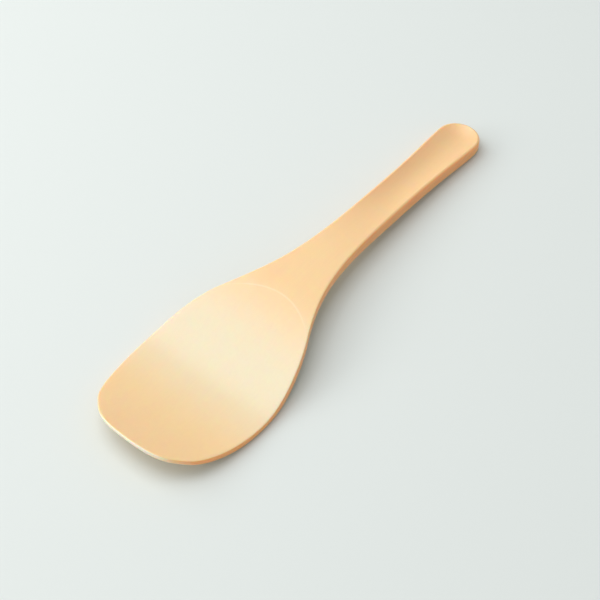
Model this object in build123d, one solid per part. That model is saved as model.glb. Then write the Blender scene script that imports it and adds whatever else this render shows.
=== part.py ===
from build123d import *
from math import radians, tan
import os

os.makedirs("parts", exist_ok=True)

# A rice paddle sawn, scooped and sanded from one piece of pale wood.
# It lies as it rests: the belly of the blade and the end of the handle touch z = 0.
# The length runs along X, with the front of the blade at the low end. Lengths are in millimetres.

# Plan outline, half of it, with places measured from the front of the blade
paddle_length = 200.0
corner_from_front = 7.3
corner_width = 41.1
corner_angle = 45.0
blade_width = 56.3
widest_from_front = 36.9
flank_from_front = 69.7
flank_width = 40.4
flank_angle = 27.8
waist_place_share = 0.739
waist_from_front = paddle_length * waist_place_share
waist_width = 15.0
handle_end_width = 17.7

# Side view: heights of the upper face where its slope is known
front_height = 11.8
front_angle = 26.2
belly_from_front = widest_from_front
neck_from_front = 86.2
neck_height = 11.4
straight_place_share = 0.678
straight_from_front = paddle_length * straight_place_share
straight_height = 9.4
end_height = 5.4

# Thickness of the wood along the paddle
front_thickness = 2.9
blade_thickness = 2.9
neck_thickness = 4.5
handle_thickness = 6.2

# Flats that the paddle rests on
belly_flat_length = 10.0
end_flat_length = 12.0

# Sanded edges: the upper one is rounded, the lower one only has its corner taken off
upper_edge_radius = 1.1
lower_edge_bevel = 0.8

# Scoop in the blade: it runs out into the neck along an arc
scoop_end_from_front = 79.6
scoop_side_radius = 700.0
scoop_depth = 0.48
scoop_end_angle = 1.65
scoop_run_out = 8.6

# Thumb trough in the handle: it fades in behind the neck and ends round
trough_start_share = 0.565
trough_start_from_front = paddle_length * trough_start_share
trough_run_in = 8.0
trough_depth = 1.4
trough_rim = 1.2
trough_lift = 0.06

# How far each end of a curve pulls along its tangent, as a share of the curve's span
front_pull_share = 0.6
corner_pull_share = 0.73
side_pull_shares = (0.165, 0.34)
shoulder_pull_shares = (0.49, 0.1)
flank_pull_shares = (0.3, 0.48)
handle_pull_shares = (0.6, 0.25)
tip_curve_shares = (0.43, 0.26)
slope_curve_shares = (0.265, 0.56)
back_curve_shares = (0.275, 0.38)

# Places along the scoop and the trough, as shares of their length, and the depth there
scoop_place_shares = (0.1, 0.26, 0.46, 0.66, 0.81, 0.91)
scoop_depth_shares = (0.52, 0.9, 1.0, 0.88, 0.68, 0.46)
trough_place_shares = (0.17, 0.37, 0.57, 0.78, 1.0)
trough_depth_shares = (0.2, 0.6, 0.89, 1.0, 1.0)

# A sanded edge takes at most this share of the thinnest wood
edge_limit_share = 0.45

# A face is level, not a wall, when its normal points up or down by more than this share
level_share = 0.5

# Cutters stand this far clear of the wood
overrun = 6.0


def along(from_front):
    """Place on X of a station that is measured from the front of the blade."""
    return from_front - paddle_length / 2


def pulled(start, end, start_slope, end_slope, shares):
    """Four control points of a curve that leaves and arrives with the given slopes."""
    span = end[0] - start[0]
    leave, arrive = shares[0] * span, shares[1] * span
    return [
        start,
        (start[0] + leave, start[1] + leave * start_slope),
        (end[0] - arrive, end[1] - arrive * end_slope),
        end,
    ]


def half_outline():
    """Control points of each curve of the half outline, from the front to the round end."""
    end_radius = handle_end_width / 2
    corner = (corner_from_front, corner_width / 2)
    widest = (widest_from_front, blade_width / 2)
    flank = (flank_from_front, flank_width / 2)
    waist = (waist_from_front, waist_width / 2)
    round_start = (paddle_length - end_radius, end_radius)
    rise = tan(radians(corner_angle))
    fall = -tan(radians(flank_angle))
    back = corner_from_front * corner_pull_share
    front = [
        (0, 0),
        (0, corner[1] * front_pull_share),
        (corner[0] - back, corner[1] - back * rise),
        corner,
    ]
    return [
        front,
        pulled(corner, widest, rise, 0, side_pull_shares),
        pulled(widest, flank, 0, fall, shoulder_pull_shares),
        pulled(flank, waist, fall, 0, flank_pull_shares),
        pulled(waist, round_start, 0, 0, handle_pull_shares),
    ]


def upper_line():
    """Control points of the upper face in side view, from the front to the straight handle."""
    handle_slope = (end_height - straight_height) / (paddle_length - straight_from_front)
    front = (0, front_height)
    belly = (belly_from_front, blade_thickness)
    neck = (neck_from_front, neck_height)
    straight = (straight_from_front, straight_height)
    return [
        pulled(front, belly, -tan(radians(front_angle)), 0, tip_curve_shares),
        pulled(belly, neck, 0, 0, slope_curve_shares),
        pulled(neck, straight, 0, handle_slope, back_curve_shares),
    ]


def lower_line():
    """Control points of the underside in side view, with the flats it rests on left straight."""
    under_handle = straight_height - handle_thickness
    end_flat_start = paddle_length - end_flat_length
    handle_slope = -under_handle / (end_flat_start - straight_from_front)
    front = (0, front_height - front_thickness)
    flat_start = (belly_from_front - belly_flat_length / 2, 0)
    flat_end = (belly_from_front + belly_flat_length / 2, 0)
    neck = (neck_from_front, neck_height - neck_thickness)
    straight = (straight_from_front, under_handle)
    return [
        pulled(front, flat_start, -tan(radians(front_angle)), 0, tip_curve_shares),
        pulled(flat_end, neck, 0, 0, slope_curve_shares),
        pulled(neck, straight, 0, handle_slope, back_curve_shares),
    ]


def height_on(curves, end, from_front):
    """Height of a chain of curves, and of the straight run after it, at one station."""
    last = curves[-1][-1]
    if from_front >= last[0]:
        return last[1] + (end[1] - last[1]) * (from_front - last[0]) / (end[0] - last[0])
    points = next(c for c in curves if from_front <= c[-1][0])
    low, high = 0, 1
    for _ in range(40):
        t = (low + high) / 2
        if blend(points, t, 0) < from_front:
            low = t
        else:
            high = t
    return blend(points, low, 1)


def blend(points, t, axis):
    """One coordinate of the cubic curve through its four control points."""
    a, b, c, d = (p[axis] for p in points)
    u = 1 - t
    return u**3 * a + 3 * u * u * t * b + 3 * u * t * t * c + t**3 * d


def upper_height(from_front):
    """Height of the upper face at one station, going on straight past the front."""
    if from_front < 0:
        return front_height - from_front * tan(radians(front_angle))
    return height_on(upper_line(), (paddle_length, end_height), from_front)


def half_width(from_front):
    """Half the paddle's width at one station before the round end."""
    return height_on(half_outline(), (paddle_length, handle_end_width / 2), from_front)


def plan_blank():
    """The board sawn to its plan outline."""
    curves = [
        Edge.make_bezier(*[(along(x), side * y) for x, y in curve])
        for curve in half_outline()
        for side in (1, -1)
    ]
    end_radius = handle_end_width / 2
    centre = along(paddle_length - end_radius)
    round_end = Edge.make_three_point_arc(
        (centre, end_radius), (centre + end_radius, 0), (centre, -end_radius)
    )
    outline = Face(Wire(curves + [round_end]))
    return extrude(outline, front_height + neck_height, dir=(0, 0, 1))


def side_blank():
    """The same board seen from the side, bent as the paddle is, across its whole width."""
    upper = upper_line()
    lower = lower_line()
    rise = tan(radians(front_angle))
    front_up = (-overrun, front_height + overrun * rise)
    front_down = (-overrun, front_height - front_thickness + overrun * rise)
    fall = (end_height - straight_height) / (paddle_length - straight_from_front)
    end_up = (paddle_length + overrun, end_height + overrun * fall)
    end_down = (paddle_length + overrun, 0)
    end_flat = (paddle_length - end_flat_length, 0)

    def at(point):
        return (along(point[0]), 0, point[1])

    def line(first, last):
        return Edge.make_line(at(first), at(last))

    edges = [Edge.make_bezier(*[at(p) for p in c]) for c in upper + lower]
    edges += [
        line(front_up, upper[0][0]),
        line(upper[-1][-1], end_up),
        line(end_up, end_down),
        line(end_down, end_flat),
        line(end_flat, lower[-1][-1]),
        line(lower[0][-1], lower[1][0]),
        line(lower[0][0], front_down),
        line(front_down, front_up),
    ]
    side = Face(Wire(edges))
    return extrude(side, blade_width, dir=(0, 1, 0), both=True)


def rim_edges(blank, side):
    """The edges where the wall meets the upper faces, or with a side of -1 the lower faces."""
    faces = blank.faces()
    walls = faces.filter_by(lambda f: abs(f.normal_at().Z) < level_share)
    level = faces.filter_by(lambda f: side * f.normal_at().Z > level_share)
    wall_edges = walls.edges()
    return [e for e in level.edges() if e in wall_edges]


def sanded(blank):
    """The blank with both of the edges that run right round it sanded."""
    thinnest = min(front_thickness, blade_thickness, neck_thickness, handle_thickness)
    most = thinnest * edge_limit_share
    upper = blank.fillet(min(upper_edge_radius, most), rim_edges(blank, 1))
    return upper.chamfer(min(lower_edge_bevel, most), None, rim_edges(upper, -1))


def hollow_section(from_front, depth, half_span, edge_rise):
    """Cross-section of a cutter: a parabola that hangs below the upper face, closed above it."""
    base = upper_height(from_front)
    low, edge, top = base - depth, base + edge_rise, base + overrun

    def at(across, height):
        return (along(from_front), across, height)

    hang = Edge.make_bezier(
        at(-half_span, edge), at(0, 2 * low - edge), at(half_span, edge)
    )
    sides = [
        Edge.make_line(at(half_span, edge), at(half_span, top)),
        Edge.make_line(at(half_span, top), at(-half_span, top)),
        Edge.make_line(at(-half_span, top), at(-half_span, edge)),
    ]
    return Face(Wire([hang] + sides))


def blade_scoop():
    """Cutter of the blade's scoop, whose floor leaves the neck's face along an arc."""
    half_span = blade_width / 2
    side_rise = half_span**2 / (2 * scoop_side_radius)
    run_out_rise = scoop_run_out * tan(radians(scoop_end_angle))
    places = [-scoop_run_out]
    depths = [-run_out_rise]
    for place, depth in zip(scoop_place_shares, scoop_depth_shares):
        places.append(place * scoop_end_from_front)
        depths.append(depth * scoop_depth)
    places += [scoop_end_from_front, scoop_end_from_front + scoop_run_out]
    depths += [0, -run_out_rise]
    sections = [
        hollow_section(place, depth, half_span, side_rise - depth)
        for place, depth in zip(places, depths)
    ]
    return loft(sections)


def thumb_trough():
    """Cutter of the handle's trough, which fades in from nothing behind the neck."""
    end = paddle_length - handle_end_width / 2
    length = end - trough_start_from_front
    places = [trough_start_from_front - trough_run_in, trough_start_from_front]
    depths = [-trough_lift - trough_lift, 0]
    for place, depth in zip(trough_place_shares, trough_depth_shares):
        places.append(trough_start_from_front + place * length)
        depths.append(depth * trough_depth)
    sections = [
        hollow_section(place, depth, half_width(place) - trough_rim, trough_lift)
        for place, depth in zip(places, depths)
    ]
    return loft(sections)


def trough_end():
    """Cutter of the round end of the trough, turned from half of its last section."""
    end = paddle_length - handle_end_width / 2
    reach = half_width(end) - trough_rim
    base = upper_height(end)
    low, edge, top = base - trough_depth, base + trough_lift, base + overrun
    centre = along(end)

    def at(out, height):
        return (centre, out, height)

    profile = [
        Edge.make_bezier(at(0, low), at(reach / 2, low), at(reach, edge)),
        Edge.make_line(at(reach, edge), at(reach, top)),
        Edge.make_line(at(reach, top), at(0, top)),
        Edge.make_line(at(0, top), at(0, low)),
    ]
    axis = Axis((centre, 0, 0), (0, 0, -1))
    return revolve(Face(Wire(profile)), axis, 180)


def rice_paddle():
    """The whole paddle: sawn to its outline, bent in side view, sanded, scooped and troughed."""
    blank = plan_blank() & side_blank()
    return sanded(blank.solid()) - blade_scoop() - thumb_trough() - trough_end()


paddle = rice_paddle()
print("paddle", paddle.bounding_box(), "volume", round(paddle.volume))
export_step(paddle, "parts/rice_paddle.step")
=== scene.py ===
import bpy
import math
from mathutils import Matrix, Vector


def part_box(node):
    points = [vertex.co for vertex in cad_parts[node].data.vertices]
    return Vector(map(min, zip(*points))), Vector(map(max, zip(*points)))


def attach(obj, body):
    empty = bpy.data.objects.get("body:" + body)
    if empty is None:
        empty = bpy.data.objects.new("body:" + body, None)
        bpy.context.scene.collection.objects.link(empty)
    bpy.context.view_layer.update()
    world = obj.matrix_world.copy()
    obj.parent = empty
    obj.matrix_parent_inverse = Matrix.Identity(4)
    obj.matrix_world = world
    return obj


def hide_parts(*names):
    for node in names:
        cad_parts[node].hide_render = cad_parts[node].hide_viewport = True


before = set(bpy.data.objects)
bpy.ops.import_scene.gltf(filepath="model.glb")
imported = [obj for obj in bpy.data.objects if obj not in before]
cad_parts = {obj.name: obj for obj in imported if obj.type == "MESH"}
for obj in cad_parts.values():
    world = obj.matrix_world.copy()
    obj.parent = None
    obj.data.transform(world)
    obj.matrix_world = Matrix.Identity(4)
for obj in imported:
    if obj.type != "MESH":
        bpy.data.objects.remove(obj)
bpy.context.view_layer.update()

# %% [markdown]
# # A rice paddle in pale wood
# The real paddle is one piece: a board sawn to its outline, bent like a shallow spoon in side
# view, scooped in the blade, troughed in the handle and sanded all over. So there is one piece
# to dress. Everything below shapes its skin, finishes its wood, and sets the table and light.
# The CAD solid already has the right form, but it comes in as loose flat triangles. A clean
# skin of quads laid over the same form shades without facets and takes softer edges.

MM = 0.001
low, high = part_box("rice_paddle")
paddle_length = high.x - low.x
blade_width = high.y - low.y
front_x = low.x
print("paddle", round(paddle_length / MM, 2), "mm long,", round(blade_width / MM, 2), "mm wide")

# %% [markdown]
# ## A curve that leaves and arrives as told
# A maker draws a paddle with long easy curves between a few fixed points. A Bezier curve does
# the same with two handles, where a polyline would need dozens of points. Each handle is
# written as a share of the span that it bends, so the curve keeps its character when a size
# changes.


# %% Curves between two points
def pulled(start, end, start_slope, end_slope, shares):
    """Control points of a curve that leaves and arrives with the given slopes."""
    span = end[0] - start[0]
    leave, arrive = shares[0] * span, shares[1] * span
    return [
        start,
        (start[0] + leave, start[1] + leave * start_slope),
        (end[0] - arrive, end[1] - arrive * end_slope),
        end,
    ]


def stretch(start, end):
    """Control points of a straight run."""
    slope = (end[1] - start[1]) / (end[0] - start[0])
    return pulled(start, end, slope, slope, (1 / 3, 1 / 3))


print("a level run:", stretch((0, 0), (3, 0)))

# %% [markdown]
# ## The plan template
# The board is sawn round a template of its outline. It has a gently bowed front, two soft
# corners, its greatest width a fifth of the way back, nearly straight flanks, a slim waist and a
# round end. Only one half is drawn, and it is mirrored later, so both sides are surely alike.

# %% Sizes of the plan, from the front
corner, corner_half, corner_angle = 7.3 * MM, 20.55 * MM, math.radians(45)
widest, widest_half = 36.9 * MM, blade_width / 2
flank, flank_half, flank_angle = 69.7 * MM, 20.2 * MM, math.radians(27.8)
waist, waist_half = 147.8 * MM, 7.5 * MM
end_radius = 8.85 * MM
front_pull, corner_pull = 0.6, 0.73
round_pull = end_radius * 4 / 3 * (math.sqrt(2) - 1)    # makes a Bezier a quarter circle
print("plan: widest", round(widest / MM, 1), "mm and slimmest", round(waist / MM, 1), "mm back")

# %% The plan outline, half of it
rise, fall = math.tan(corner_angle), -math.tan(flank_angle)
corner_back = corner * corner_pull
round_start = (paddle_length - end_radius, end_radius)
half_outline = [
    [
        (0, 0),
        (0, corner_half * front_pull),
        (corner - corner_back, corner_half - corner_back * rise),
        (corner, corner_half),
    ],
    pulled((corner, corner_half), (widest, widest_half), rise, 0, (0.165, 0.34)),
    pulled((widest, widest_half), (flank, flank_half), 0, fall, (0.49, 0.1)),
    pulled((flank, flank_half), (waist, waist_half), fall, 0, (0.3, 0.48)),
    pulled((waist, waist_half), round_start, 0, 0, (0.6, 0.25)),
    [
        round_start,
        (round_start[0] + round_pull, end_radius),
        (paddle_length, round_pull),
        (paddle_length, 0),
    ],
]
print("half outline", len(half_outline), "curves")

# %% [markdown]
# ## The side template
# Seen from the side the front of the blade is raised, the belly rests on the table, the neck
# arches clear of it, and the handle comes down straight to its end. The upper face and the
# underside get a line each, because the wood is 3 mm thick in the blade and 6 in the handle.
# Both lines run on past the ends, so that a probe dropped right on the rim still finds them.

# %% Sizes of the side view, from the front and from the table
front_height, front_angle = 11.62 * MM, math.radians(26.2)
belly, neck, neck_height = widest, 86.2 * MM, high.z
straight, straight_height, end_height = 135.6 * MM, 9.4 * MM, 5.4 * MM
blade_thick, neck_thick, handle_thick = 2.9 * MM, 4.5 * MM, 6.2 * MM
belly_flat, end_flat = 10.0 * MM, 12.0 * MM
past = 10 * MM
tip_shares, slope_shares, back_shares = (0.43, 0.26), (0.265, 0.56), (0.275, 0.38)
print("side view: front", round(front_height / MM, 1), "and neck",
      round(neck_height / MM, 1), "mm high")

# %% The line of the upper face
front_slope = -math.tan(front_angle)
handle_slope = (end_height - straight_height) / (paddle_length - straight)
upper_line = [
    stretch((-past, front_height - past * front_slope), (0, front_height)),
    pulled((0, front_height), (belly, blade_thick), front_slope, 0, tip_shares),
    pulled((belly, blade_thick), (neck, neck_height), 0, 0, slope_shares),
    pulled((neck, neck_height), (straight, straight_height), 0, handle_slope, back_shares),
    stretch((straight, straight_height), (paddle_length, end_height)),
    stretch((paddle_length, end_height),
            (paddle_length + past, end_height + past * handle_slope)),
]
print("upper face", len(upper_line), "curves")

# %% The line of the underside
under_front = (0, front_height - blade_thick)
under_neck = (neck, neck_height - neck_thick)
under_straight = (straight, straight_height - handle_thick)
end_flat_start = (paddle_length - end_flat, 0)
under_slope = -under_straight[1] / (end_flat_start[0] - straight)
flat_front, flat_back = (belly - belly_flat / 2, 0), (belly + belly_flat / 2, 0)
lower_line = [
    stretch((-past, under_front[1] - past * front_slope), under_front),
    pulled(under_front, flat_front, front_slope, 0, tip_shares),
    stretch(flat_front, flat_back),
    pulled(flat_back, under_neck, 0, 0, slope_shares),
    pulled(under_neck, under_straight, 0, under_slope, back_shares),
    stretch(under_straight, end_flat_start),
    stretch(end_flat_start, (paddle_length + past, 0)),
]
print("underside", len(lower_line), "curves")

# %% [markdown]
# ## Templates as real curves
# Geometry Nodes can sample any curve object, so each template becomes one. They are guides
# only: once the skin is made they are taken away, as a maker puts the templates back.


# %% Draw a template
def template(name, curves, place, closed=False):
    """A Bezier curve object through a chain of four-point curves."""
    data = bpy.data.curves.new(name, "CURVE")
    data.dimensions = "3D"
    data.resolution_u = 96    # straight pieces per curve, too short to see
    spline = data.splines.new("BEZIER")
    spline.bezier_points.add(len(curves) - (1 if closed else 0))
    spline.use_cyclic_u = closed
    for point in spline.bezier_points:
        point.handle_left_type = point.handle_right_type = "FREE"
    count = len(spline.bezier_points)
    for i, (start, leave, arrive, end) in enumerate(curves):
        first, last = spline.bezier_points[i], spline.bezier_points[(i + 1) % count]
        first.co, first.handle_right = place(start), place(leave)
        last.co, last.handle_left = place(end), place(arrive)
    ends = spline.bezier_points[0], spline.bezier_points[-1]
    if not closed:
        ends[0].handle_left, ends[1].handle_right = ends[0].co, ends[1].co
    curve = bpy.data.objects.new(name, data)
    bpy.context.scene.collection.objects.link(curve)
    print(name, count, "points")
    return curve


# %% The three templates
def in_plan(point):
    """A point of the outline, laid on the table."""
    return (front_x + point[0], point[1], 0)


def in_side(point):
    """A point of the side view, stood over the middle line."""
    return (front_x + point[0], 0, point[1])


other_half = [[(x, -y) for x, y in reversed(curve)] for curve in reversed(half_outline)]
plan_guide = template("plan_guide", half_outline + other_half, in_plan, closed=True)
upper_guide = template("upper_guide", upper_line, in_side)
lower_guide = template("lower_guide", lower_line, in_side)

# %% [markdown]
# ## One small helper for nodes
# A node tree is a list of nodes, their settings and their links. One function that takes all
# three keeps each node to one readable statement, in geometry and in materials alike.


# %% Add a node
def add(tree, kind, settings=None, links=None):
    """Adds one node, sets its options or sockets, and links sources to its sockets."""
    node = tree.nodes.new(kind)
    for key, value in (settings or {}).items():
        if isinstance(key, int) or key in node.inputs:
            node.inputs[key].default_value = value
        else:
            setattr(node, key, value)
    for key, source in (links or {}).items():
        tree.links.new(source, node.inputs[key])
    return node


MATH, VECTOR, RANGE = "ShaderNodeMath", "ShaderNodeVectorMath", "ShaderNodeMapRange"
SPLIT, JOIN, MIX = "ShaderNodeSeparateXYZ", "ShaderNodeCombineXYZ", "ShaderNodeMix"
print("short names for", ", ".join((MATH, VECTOR, RANGE, SPLIT, JOIN, MIX)))

# %% [markdown]
# ## The skin that follows the templates
# The skin is one sheet of quads. Its columns run round the outline, and its rows run over the
# section: from the middle of the upper face out to the edge, round the sanded edge, down the
# wall, round the lower edge and back to the middle underneath. A tree of nodes suits this,
# because every point obeys the same rule: ask the plan template where the edge is, ask the
# side templates how high the wood is, and place the point between them. It could be lofted
# from sections too, but those would cross the outline instead of following it, and the rim
# is what the eye reads first on a paddle.
# The sanded edges are crisp on the blade, which has to lift rice cleanly, and rounder on the
# handle, which has to be held.

# %% Sizes that the tree takes in
trough_depth, scoop_depth = 2.2 * MM, 0.48 * MM
skin_sizes = {
    "Front fan": front_x + 22 * MM,
    "End fan": front_x + paddle_length - end_radius,
    "Blade upper edge": 0.6 * MM,
    "Handle upper edge": 1.0 * MM,
    "Blade lower edge": 1.3 * MM,
    "Handle lower edge": 2.0 * MM,
    "Scoop depth": scoop_depth,
    "Scoop side radius": 700 * MM,
    "Trough depth": trough_depth,
}
print("scoop", scoop_depth / MM, "mm deep; trough", trough_depth / MM, "mm deep")

# %% The tree and its named inputs
skin = bpy.data.node_groups.new("paddle_skin", "GeometryNodeTree")
skin.interface.new_socket("Geometry", in_out="OUTPUT", socket_type="NodeSocketGeometry")
input_kinds = {
    "NodeSocketObject": ("Plan", "Upper", "Lower"),
    "NodeSocketInt": ("Columns", "Rows"),
    "NodeSocketFloat": skin_sizes,
    "NodeSocketMaterial": ("Wood",),
}
for socket_kind, names in input_kinds.items():
    for name in names:
        skin.interface.new_socket(name, in_out="INPUT", socket_type=socket_kind)
source = add(skin, "NodeGroupInput")
given = {socket.name: socket for socket in source.outputs if socket.name}
print("skin tree", len(given), "inputs")

# %% [markdown]
# ### Where a point lies in the sheet
# The sheet starts flat, one unit long and one wide, and centred, so half a unit is added to
# count from 0. A point's place in it says two things: its share of the way round the outline,
# and its share of the way over the section. The second is cut into five stages. Four of them
# are turned into a quarter turn, so that sine and cosine space the rows: close together near
# the rim, where the surface bends most.

# %% The flat sheet and its two shares
sheet = add(skin, "GeometryNodeMeshGrid", {"Size X": 1, "Size Y": 1},
            {"Vertices X": given["Columns"], "Vertices Y": given["Rows"]})
flat_place = add(skin, "GeometryNodeInputPosition")
counted = add(skin, VECTOR, {1: (0.5, 0.5, 0)}, {0: flat_place.outputs[0]})
shares = add(skin, SPLIT, links={0: counted.outputs[0]})
round_share, over_share = shares.outputs["X"], shares.outputs["Y"]
print("sheet ready,", len(skin.nodes), "nodes so far")

# %% The five stages of the section
QUARTER = math.pi / 2
stage_limits = {
    "out": (0, 0.4, QUARTER),         # from the middle to the rim, over the upper face
    "upper": (0.4, 0.52, QUARTER),    # round the upper edge
    "wall": (0.52, 0.56, 1),          # down the wall
    "lower": (0.56, 0.68, QUARTER),   # round the lower edge
    "back": (0.68, 1, QUARTER),       # back to the middle, underneath
}
stages = {}
for name, (start, stop, full) in stage_limits.items():
    stage = add(skin, RANGE, {"From Min": start, "From Max": stop, "To Max": full},
                {"Value": over_share})
    stages[name] = stage.outputs[0]
print("stages", *stages)

# %% [markdown]
# ### The rim and the middle line
# Each column starts at a point of the outline and heads for the middle line. At both round
# ends the columns fan out from one centre instead, so the quads follow the rim there too.

# %% The edge at a column, and the middle behind it
plan_line = add(skin, "GeometryNodeObjectInfo", links={"Object": given["Plan"]})
edge = add(skin, "GeometryNodeSampleCurve", {"mode": "FACTOR"},
           {"Curves": plan_line.outputs["Geometry"], "Factor": round_share})
across = add(skin, VECTOR, {"operation": "CROSS_PRODUCT", 0: (0, 0, 1)},
             {1: edge.outputs["Tangent"]})
outward = add(skin, VECTOR, {"operation": "NORMALIZE"}, {0: across.outputs[0]})
edge_place = add(skin, SPLIT, links={0: edge.outputs["Position"]})
along = add(skin, "ShaderNodeClamp",
            links={0: edge_place.outputs["X"], 1: given["Front fan"], 2: given["End fan"]})
middle = add(skin, JOIN, links={"X": along.outputs[0]})
print("rim and middle line,", len(skin.nodes), "nodes so far")

# %% Edge radii that grow from the blade to the handle
blade_edge_stops, handle_edge_starts = front_x + 70 * MM, front_x + 125 * MM
radii = []
for which in ("upper", "lower"):
    grow = add(skin, RANGE,
               {"interpolation_type": "SMOOTHSTEP", "From Min": blade_edge_stops,
                "From Max": handle_edge_starts},
               {"Value": along.outputs[0], "To Min": given[f"Blade {which} edge"],
                "To Max": given[f"Handle {which} edge"]})
    radii.append(grow.outputs[0])
print("upper and lower radius,", len(skin.nodes), "nodes so far")

# %% How far in from the outline a row lies
sine = add(skin, MATH, {"operation": "SINE"}, {0: stages["upper"]})
upper_in = add(skin, MATH, {"operation": "SUBTRACT", 0: 1}, {1: sine.outputs[0]})
cosine = add(skin, MATH, {"operation": "COSINE"}, {0: stages["lower"]})
lower_in = add(skin, MATH, {"operation": "SUBTRACT", 0: 1}, {1: cosine.outputs[0]})
inset = add(skin, MATH, {"operation": "MULTIPLY"}, {0: upper_in.outputs[0], 1: radii[0]})
inset = add(skin, MATH, {"operation": "MULTIPLY_ADD"},
            {0: lower_in.outputs[0], 1: radii[1], 2: inset.outputs[0]})
inward = add(skin, VECTOR, {"operation": "SCALE"},
             {0: outward.outputs[0], "Scale": inset.outputs[0]})
rim = add(skin, VECTOR, {"operation": "SUBTRACT"},
          {0: edge.outputs["Position"], 1: inward.outputs[0]})
print("rim under the sanded edges,", len(skin.nodes), "nodes so far")

# %% The place of a row in plan
out_share = add(skin, MATH, {"operation": "SINE"}, {0: stages["out"]})
back_share = add(skin, MATH, {"operation": "COSINE"}, {0: stages["back"]})
rim_share = add(skin, MATH, {"operation": "MULTIPLY"},
                {0: out_share.outputs[0], 1: back_share.outputs[0]})
plan_place = add(skin, MIX, {"data_type": "VECTOR"},
                 {"Factor": rim_share.outputs[0], 4: middle.outputs[0], 5: rim.outputs[0]})
place = add(skin, SPLIT, links={0: plan_place.outputs[1]})
print("plan of every point,", len(skin.nodes), "nodes so far")

# %% [markdown]
# ### How high the wood is
# A side template is widened into a ribbon, and a ray dropped onto it finds its height at any
# place along the paddle. That is a depth gauge, and it saves writing the curves out again as
# formulas. Between the two heights the section is sanded: a quarter round at the upper edge,
# the wall, and a quarter round at the lower edge.


# %% Ask a side template how high it is
ribbon_half, drop_height = 10 * MM, 100 * MM


def height_from(guide, spot):
    """Height of a side template below a spot, found by a ray onto its ribbon."""
    line = add(skin, "GeometryNodeObjectInfo", links={"Object": guide})
    width = add(skin, "GeometryNodeCurvePrimitiveLine",
                {"Start": (-ribbon_half, 0, 0), "End": (ribbon_half, 0, 0)})
    flat = add(skin, "GeometryNodeSetCurveNormal", {"mode": "Z_UP"},
               {0: line.outputs["Geometry"]})
    ribbon = add(skin, "GeometryNodeCurveToMesh",
                 links={0: flat.outputs[0], "Profile Curve": width.outputs[0]})
    hit = add(skin, "GeometryNodeRaycast", {"Ray Direction": (0, 0, -1), "Ray Length": 1},
              {0: ribbon.outputs[0], "Source Position": spot})
    height = add(skin, SPLIT, links={0: hit.outputs["Hit Position"]})
    return height.outputs["Z"]


over = add(skin, JOIN, {"Z": drop_height}, {"X": place.outputs["X"]})
upper_height = height_from(given["Upper"], over.outputs[0])
lower_height = height_from(given["Lower"], over.outputs[0])
print("two depth gauges,", len(skin.nodes), "nodes so far")

# %% The height of a row before any hollow is cut
cosine = add(skin, MATH, {"operation": "COSINE"}, {0: stages["upper"]})
bend = add(skin, MATH, {"operation": "SUBTRACT", 0: 1}, {1: cosine.outputs[0]})
drop = add(skin, MATH, {"operation": "MULTIPLY"}, {0: bend.outputs[0], 1: radii[0]})
top = add(skin, MATH, {"operation": "SUBTRACT"}, {0: upper_height, 1: drop.outputs[0]})
sine = add(skin, MATH, {"operation": "SINE"}, {0: stages["lower"]})
bend = add(skin, MATH, {"operation": "SUBTRACT", 0: 1}, {1: sine.outputs[0]})
base = add(skin, MATH, {"operation": "MULTIPLY_ADD"},
           {0: bend.outputs[0], 1: radii[1], 2: lower_height})
uncut = add(skin, MIX, links={
    "Factor": stages["wall"], 2: top.outputs[0], 3: base.outputs[0]})
print("height of every point,", len(skin.nodes), "nodes so far")

# %% [markdown]
# ### The scoop and the trough
# The scoop is a shallow parabola pressed into the blade. It meets the neck along the arc that
# the real paddle shows. The trough is as wide as the handle, and fades in from nothing behind
# the neck to where the thumb lies. A maker cuts both by eye with a gouge and a scraper, so
# their depths along the paddle are given one by one, as points of a curve.


# %% A depth that follows the length
def depth_along(spot, start, stop, depths, most):
    """The depth of a hollow at a place along the paddle, from listed shares."""
    share = add(skin, RANGE, {"From Min": start, "From Max": stop}, {"Value": spot})
    follow = add(skin, "ShaderNodeFloatCurve", links={"Value": share.outputs[0]})
    line = follow.mapping.curves[0]
    for _ in depths[2:]:
        line.points.new(0.5, 0.5)
    for point, where in zip(line.points, depths):
        point.location = where
    follow.mapping.update()
    depth = add(skin, MATH, {"operation": "MULTIPLY"}, {0: follow.outputs[0], 1: most})
    return depth.outputs[0]


scoop_end = front_x + 79.6 * MM
scoop_depths = [(0.0, 0.0), (0.1, 0.52), (0.26, 0.9), (0.46, 1.0), (0.66, 0.88), (0.81, 0.68),
                (0.91, 0.46), (1.0, 0.0)]
scoop_middle = depth_along(place.outputs["X"], front_x, scoop_end, scoop_depths,
                           given["Scoop depth"])
trough_start, trough_end = front_x + 111 * MM, front_x + paddle_length - end_radius
trough_depths = [(0.0, 0.0), (0.19, 0.2), (0.39, 0.6), (0.58, 0.89), (0.78, 1.0), (1.0, 1.0)]
trough_middle = depth_along(along.outputs[0], trough_start, trough_end, trough_depths,
                            given["Trough depth"])
print("scoop of", len(scoop_depths), "and trough of", len(trough_depths), "depths")

# %% The scoop across the blade
square = add(skin, MATH, {"operation": "MULTIPLY"},
             {0: place.outputs["Y"], 1: place.outputs["Y"]})
double = add(skin, MATH, {"operation": "MULTIPLY", 0: 2}, {1: given["Scoop side radius"]})
side_rise = add(skin, MATH, {"operation": "DIVIDE"}, {0: square.outputs[0], 1: double.outputs[0]})
dip = add(skin, MATH, {"operation": "SUBTRACT"}, {0: scoop_middle, 1: side_rise.outputs[0]})
dip = add(skin, MATH, {"operation": "MAXIMUM", 1: 0}, {0: dip.outputs[0]})
above = add(skin, MATH, {"operation": "SUBTRACT", 0: 1}, {1: stages["wall"]})
scoop = add(skin, MATH, {"operation": "MULTIPLY"}, {0: dip.outputs[0], 1: above.outputs[0]})
print("scoop,", len(skin.nodes), "nodes so far")

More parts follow.
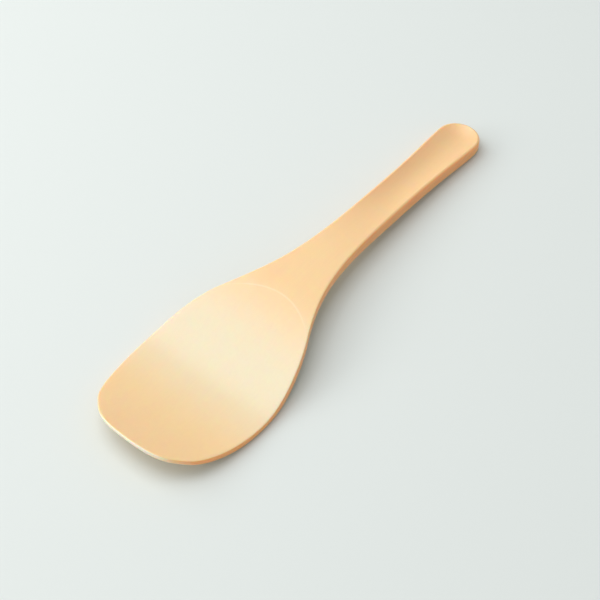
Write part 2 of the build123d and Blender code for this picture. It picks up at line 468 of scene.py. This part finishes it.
# %% The trough across the handle, and both cuts together
square = add(skin, MATH, {"operation": "MULTIPLY"},
             {0: out_share.outputs[0], 1: out_share.outputs[0]})
hang = add(skin, MATH, {"operation": "SUBTRACT", 0: 1}, {1: square.outputs[0]})
cut = add(skin, MATH, {"operation": "MULTIPLY_ADD"},
          {0: hang.outputs[0], 1: trough_middle, 2: scoop.outputs[0]})
height = add(skin, MATH, {"operation": "SUBTRACT"}, {0: uncut.outputs[0], 1: cut.outputs[0]})
print("scoop and trough,", len(skin.nodes), "nodes so far")

# %% [markdown]
# ### Place every point and close the skin
# The first and last column land on the same line, and the first and last row gather along the
# middle of each face. Points that land on one spot are merged, so the skin comes out closed,
# with no seam to shade.
# The tree ends in Realize Instances and Set Material, so that the mesh it gives is plain.

# %% The end of the tree
MERGE_DISTANCE = 0.004 * MM
spot = add(skin, JOIN, links={
    "X": place.outputs["X"], "Y": place.outputs["Y"], "Z": height.outputs[0]})
laid = add(skin, "GeometryNodeSetPosition",
           links={0: sheet.outputs["Mesh"], "Position": spot.outputs[0]})
closed = add(skin, "GeometryNodeMergeByDistance", {"Distance": MERGE_DISTANCE},
             {0: laid.outputs[0]})
smooth = add(skin, "GeometryNodeSetShadeSmooth", links={0: closed.outputs[0]})
plain = add(skin, "GeometryNodeRealizeInstances", links={0: smooth.outputs[0]})
dressed = add(skin, "GeometryNodeSetMaterial",
              links={0: plain.outputs[0], "Material": given["Wood"]})
add(skin, "NodeGroupOutput", links={0: dressed.outputs[0]})
print("skin tree", len(skin.nodes), "nodes")

# %% [markdown]
# ## The wood
# The paddle is maple: pale, close-grained and almost without figure, sanded fine and rubbed
# with a thin food-safe oil. To the eye that is a warm cream with a soft satin gloss. Light
# enters pale wood a little and comes out warmer, so the shaded side of an edge glows instead
# of going grey. Subsurface scattering gives that, and a rough thin coat stands for the oil.
# A picture of real grain could be wrapped round the paddle, but noise on the object's own
# coordinates needs no unwrapping and runs through the wood as real grain does.


# %% Colour from a hex value
def linear(hex_colour, alpha=1.0):
    """An sRGB hex colour as the linear values that the renderer mixes."""
    values = [int(hex_colour[i:i + 2], 16) / 255 for i in (1, 3, 5)]
    straight_values = [
        v / 12.92 if v <= 0.04045 else ((v + 0.055) / 1.055) ** 2.4 for v in values
    ]
    return (*straight_values, alpha)


print("cream in linear values:", [round(v, 3) for v in linear("#F6D19A")])

# %% Sanded and oiled maple
maple = bpy.data.materials.new("sanded_oiled_maple")
maple.use_nodes = True
grain = maple.node_tree
surface = grain.nodes["Principled BSDF"]
surface_values = {
    "Roughness": 0.5, "IOR": 1.5, "Subsurface Weight": 0.7,
    "Subsurface Radius": (1, 0.3, 0.1), "Subsurface Scale": 3 * MM,
    "Coat Weight": 0.8, "Coat Roughness": 0.45,
}
for name, value in surface_values.items():
    surface.inputs[name].default_value = value
print("material", maple.name, "with", len(surface_values), "values set")

# %% [markdown]
# ### Fibre and growth bands
# Up close maple has lengthwise fibre and slightly darker growth bands, drawn out along the
# board. Both come from noise that is stretched along the length. Real maple fibre is finer
# than a tenth of a millimetre, too fine to show here, so it is drawn 0.35 mm wide. It is kept
# weak, because the real paddle looks nearly plain at arm's length.

# %% Stretched noise
fibre_width, band_width = 0.35 * MM, 5 * MM
LENGTHWISE = 0.04    # the pattern is 25 times as long as it is wide
texture = add(grain, "ShaderNodeTexCoord")
where, normal = texture.outputs["Object"], texture.outputs["Normal"]
drawn_out = add(grain, "ShaderNodeMapping", {"Scale": (LENGTHWISE, 1, 1)}, {"Vector": where})
fibre = add(grain, "ShaderNodeTexNoise", {"Scale": 1 / (2 * fibre_width), "Detail": 3},
            {"Vector": drawn_out.outputs[0]})
bands = add(grain, "ShaderNodeTexNoise", {"Scale": 1 / (2 * band_width), "Detail": 2},
            {"Vector": drawn_out.outputs[0]})
face = add(grain, MIX, {"data_type": "RGBA", 6: linear("#F6D19A"), 7: linear("#FAD7A2")},
           {"Factor": bands.outputs["Fac"]})
wood_place = add(grain, SPLIT, links={0: where})
print("fibre", fibre_width / MM, "mm and bands", band_width / MM, "mm wide")

# %% [markdown]
# ### Where the wood changes tone
# Light and shade are painted into the colour here. A paler, greyer band across the blade is a
# painted sheen where the scoop's gloss would catch the light. The back of the handle is darker
# and warmer, painted shade for the thumb trough. The side walls get a deep orange, painted
# shade, and the front edge goes nearly white, a painted highlight. A thin paler line along the
# arc where the scoop runs out into the neck is a painted highlight too. They could be painted
# on by hand, but each follows from the place or the direction of the surface. So each is a
# share from 0 to 1, worked out from those, and the shares then mix one tone after another over
# the plain face.

# %% A painted sheen across the blade: a paler, greyer band where the scoop's gloss catches the light
painted_sheen_middle, painted_sheen_reach, painted_sheen_most = front_x + 51 * MM, 36 * MM, 0.85
away = add(grain, MATH, {"operation": "SUBTRACT", 1: painted_sheen_middle}, {0: wood_place.outputs["X"]})
away = add(grain, MATH, {"operation": "ABSOLUTE"}, {0: away.outputs[0]})
# Painted highlight: a paler, greyer band across the blade stands in for its soft gloss sheen.
painted_sheen = add(grain, RANGE, {"interpolation_type": "SMOOTHSTEP", "From Max": painted_sheen_reach,
                          "To Min": painted_sheen_most, "To Max": 0}, {"Value": away.outputs[0]})
print("painted sheen reaches", painted_sheen_reach / MM, "mm each way")

# %% Painted shade over the back of the handle, for the shade in the thumb trough
trough_shade_start, trough_shade_full, trough_shade_most = front_x + 100 * MM, front_x + 145 * MM, 0.5
# Painted shade: the handle gets darker and warmer from behind the neck back to its end.
painted_trough_shade = add(grain, RANGE, {"interpolation_type": "SMOOTHSTEP", "From Min": trough_shade_start,
                          "From Max": trough_shade_full, "To Max": trough_shade_most},
           {"Value": wood_place.outputs["X"]})
print("grip deepens over", round((trough_shade_full - trough_shade_start) / MM), "mm")

# %% Painted shade on the side walls: a deep orange tone where the surface faces sideways
wall_shade_starts, wall_shade_full = 0.5, 0.9    # how far the surface faces sideways, 1 for a wall
facing = add(grain, SPLIT, links={0: normal})
sideways = add(grain, MATH, {"operation": "ABSOLUTE"}, {0: facing.outputs["Y"]})
# Painted shade: every side wall takes the deep warm tone of a wall in shade.
painted_wall_shade = add(grain, RANGE, {"interpolation_type": "SMOOTHSTEP", "From Min": wall_shade_starts,
                               "From Max": wall_shade_full}, {"Value": sideways.outputs[0]})
print("side walls start where the surface leans", round(math.degrees(math.asin(wall_shade_starts))),
      "degrees out")

# %% A painted highlight on the front edge, where the surface faces forwards and a little up
highlight_facing = (-0.9, 0, 0.43)    # forwards and a little up
highlight_starts, highlight_full, highlight_most = 0.72, 0.92, 0.9
ahead = add(grain, VECTOR, {"operation": "DOT_PRODUCT", 1: highlight_facing}, {0: normal})
# Painted highlight: the front edge is made nearly white, as an edge in full light looks.
painted_front_highlight = add(grain, RANGE, {"interpolation_type": "SMOOTHSTEP", "From Min": highlight_starts,
                             "From Max": highlight_full, "To Max": highlight_most},
              {"Value": ahead.outputs["Value"]})
print("scraped edge faces", highlight_facing)

# %% A painted highlight along the arc behind the scoop: how near a spot is to it
arc_highlight_width, arc_highlight_reach, arc_highlight_most = 0.6 * MM, 20.5 * MM, 0.3
ARC_BEND = 24.9    # per metre: the arc comes forward by this times the square of the offset
square = add(grain, MATH, {"operation": "MULTIPLY"},
             {0: wood_place.outputs["Y"], 1: wood_place.outputs["Y"]})
bend = add(grain, MATH, {"operation": "MULTIPLY_ADD", 1: ARC_BEND},
           {0: square.outputs[0], 2: wood_place.outputs["X"]})
away = add(grain, MATH, {"operation": "SUBTRACT", 1: scoop_end}, {0: bend.outputs[0]})
away = add(grain, MATH, {"operation": "ABSOLUTE"}, {0: away.outputs[0]})
# Painted highlight: a thin paler line along the arc where the scoop runs out into the neck.
line = add(grain, RANGE, {"interpolation_type": "SMOOTHSTEP", "From Max": arc_highlight_width,
                          "To Min": arc_highlight_most, "To Max": 0}, {"Value": away.outputs[0]})
print("painted_arc_highlight", 2 * arc_highlight_width / MM, "mm wide")

# %% The painted highlight fades before it reaches the sides
sideways = add(grain, MATH, {"operation": "ABSOLUTE"}, {0: wood_place.outputs["Y"]})
fade = add(grain, RANGE, {"interpolation_type": "SMOOTHSTEP", "From Min": arc_highlight_reach / 2,
                          "From Max": arc_highlight_reach, "To Min": 1, "To Max": 0},
           {"Value": sideways.outputs[0]})
painted_arc_highlight = add(grain, MATH, {"operation": "MULTIPLY"}, {0: line.outputs[0], 1: fade.outputs[0]})
print("arc gone", arc_highlight_reach / MM, "mm from the middle")

# %% One tone after another
# Painted light, in order: sheen on the blade, shade on the handle and walls, highlights on the
# front edge and the arc.
tones = ((painted_sheen, "#E4DBBC"), (painted_trough_shade, "#EEBF86"), (painted_wall_shade, "#F6AD5E"), (painted_front_highlight, "#FFF4DF"),
         (painted_arc_highlight, "#FBEFD6"))
colour = face.outputs[2]
for share, tone in tones:
    mixed = add(grain, MIX, {"data_type": "RGBA", 7: linear(tone)},
                {"Factor": share.outputs[0], 6: colour})
    colour = mixed.outputs[2]
print(len(tones), "tones over the plain face")

# %% Fibre over the colour, and its faint relief
fibre_strength, relief_strength, relief_depth = 0.04, 0.05, 0.05 * MM
streak = add(grain, MIX,
             {"data_type": "RGBA", "blend_type": "MULTIPLY", "Factor": fibre_strength},
             {6: colour, 7: fibre.outputs["Fac"]})
relief = add(grain, "ShaderNodeBump", {"Strength": relief_strength, "Distance": relief_depth},
             {"Height": fibre.outputs["Fac"]})
grain.links.new(streak.outputs[2], surface.inputs["Base Color"])
grain.links.new(relief.outputs[0], surface.inputs["Normal"])
print("wood", len(grain.nodes), "nodes")

# %% [markdown]
# ## Lay the skin
# The tree's inputs are set on a modifier by each socket's identifier. The evaluated result is
# copied out as a plain mesh, and the modifier and the templates go, so that the finished piece
# depends on nothing else. A column every two thirds of a millimetre keeps the corners round in
# a close view.


# %% Run the tree and keep a plain mesh
def lay_skin(columns, rows):
    """The paddle's skin as a plain mesh object."""
    holder = bpy.data.objects.new("skin_holder", bpy.data.meshes.new("skin_holder"))
    bpy.context.scene.collection.objects.link(holder)
    modifier = holder.modifiers.new("skin", "NODES")
    modifier.node_group = skin
    values = {"Plan": plan_guide, "Upper": upper_guide, "Lower": lower_guide,
              "Columns": columns, "Rows": rows, "Wood": maple, **skin_sizes}
    for item in skin.interface.items_tree:
        if item.in_out == "INPUT":
            modifier[item.identifier] = values[item.name]
    holder.update_tag()
    bpy.context.view_layer.update()
    evaluated = holder.evaluated_get(bpy.context.evaluated_depsgraph_get())
    mesh = bpy.data.meshes.new_from_object(evaluated)
    mesh.materials.clear()
    mesh.materials.append(maple)
    bpy.data.objects.remove(holder)
    piece = bpy.data.objects.new("carved_paddle", mesh)
    bpy.context.scene.collection.objects.link(piece)
    return piece


paddle = lay_skin(columns=721, rows=111)
print("skin", len(paddle.data.vertices), "points,", len(paddle.data.polygons), "faces")

# %% Put the templates back
for guide in (plan_guide, upper_guide, lower_guide):
    bpy.data.objects.remove(guide)
slots = {face.material_index for face in paddle.data.polygons}
print("material slots in use", slots)

# %% The piece joins the frame
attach(paddle, "root")
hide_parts("rice_paddle")
print("piece", paddle.name, "stands for the CAD node rice_paddle")

# %% [markdown]
# ## The table
# The paddle lies on a sheet of pale matt paper. The sheet is large, so its edge stays out of
# the picture from any side, and it is part of the stage, not of the paddle.

# %% Floor
floor_reach = 3.0
floor_mesh = bpy.data.meshes.new("floor")
corners = [(x * floor_reach, y * floor_reach, 0) for x, y in ((-1, -1), (1, -1), (1, 1), (-1, 1))]
floor_mesh.from_pydata(corners, [], [(0, 1, 2, 3)])
floor = bpy.data.objects.new("floor", floor_mesh)
bpy.context.scene.collection.objects.link(floor)
paper = bpy.data.materials.new("pale_paper")
paper.use_nodes = True
paper_surface = paper.node_tree.nodes["Principled BSDF"]
paper_surface.inputs["Base Color"].default_value = linear("#DDE3E0")
paper_surface.inputs["Roughness"].default_value = 0.9
floor_mesh.materials.append(paper)
print("floor", 2 * floor_reach, "m across")

# %% [markdown]
# ## The camera
# The camera stands half a metre away and looks down at about 50 degrees, as someone at a table
# looks at a paddle within reach. It is turned 51 degrees from the paddle's long side towards
# the front of the blade. Its lens follows from how many pixels a millimetre fills at that
# distance, and aim_shift places the paddle in the frame without any lens shift.

# %% Camera
turn, elevation = math.radians(51.114), math.radians(49.987)
distance = 492.5 * MM
pixels_per_mm, picture_width = 2.7361, 600
aim_shift = Vector((5.936, 9.569, 0)) * MM
to_paddle = Matrix.Rotation(-turn, 3, "Z")
stand = Vector((0, -math.cos(elevation), math.sin(elevation))) * distance
camera_data = bpy.data.cameras.new("camera")
camera_data.sensor_width = 36
camera_data.lens = camera_data.sensor_width * pixels_per_mm * (distance / MM) / picture_width
camera = bpy.data.objects.new("camera", camera_data)
bpy.context.scene.collection.objects.link(camera)
aim = to_paddle @ -aim_shift
camera.location = to_paddle @ (stand - aim_shift)
camera.rotation_euler = (aim - camera.location).to_track_quat("-Z", "Y").to_euler()
bpy.context.scene.camera = camera
print("camera", [round(c, 4) for c in camera.location], "lens", round(camera_data.lens, 1))

# %% [markdown]
# ## Light
# Three soft lamps stand on the left. The largest is a little behind the paddle and does most of
# the work, one is nearly overhead, and a small low one catches the front edge. An even white
# world fills the shadows. One lamp alone would leave either the walls too dark or the scoop
# without shape. Together they are about as bright as makes a colour render as it is written.


# %% Lamps
def lamp(name, around, up, size, power):
    """A square soft lamp aimed at the paddle, turned from the camera round to its left."""
    data = bpy.data.lights.new(name, "AREA")
    data.shape = "SQUARE"
    data.size = size
    data.energy = power
    light = bpy.data.objects.new(name, data)
    bpy.context.scene.collection.objects.link(light)
    around, up = math.radians(around), math.radians(up)
    out = math.cos(up)
    toward = Vector((-math.sin(around) * out, -math.cos(around) * out, math.sin(up)))
    light.location = to_paddle @ toward * lamp_distance
    light.rotation_euler = (-light.location).to_track_quat("-Z", "Y").to_euler()
    print(name, "at", [round(c, 2) for c in light.location])


lamp_distance = 1.25
lamp("key_lamp", around=112, up=42, size=1.1, power=8.1)
lamp("top_lamp", around=130, up=80, size=0.8, power=4.8)
lamp("low_lamp", around=75, up=20, size=0.5, power=3.4)

# %% World and view
world = bpy.data.worlds.new("studio")
bpy.context.scene.world = world
world.use_nodes = True
sky = world.node_tree.nodes["Background"]
sky.inputs["Color"].default_value = (1, 1, 1, 1)
sky.inputs["Strength"].default_value = 0.45
bpy.context.scene.view_settings.view_transform = "Standard"
print("world strength", round(sky.inputs["Strength"].default_value, 2))
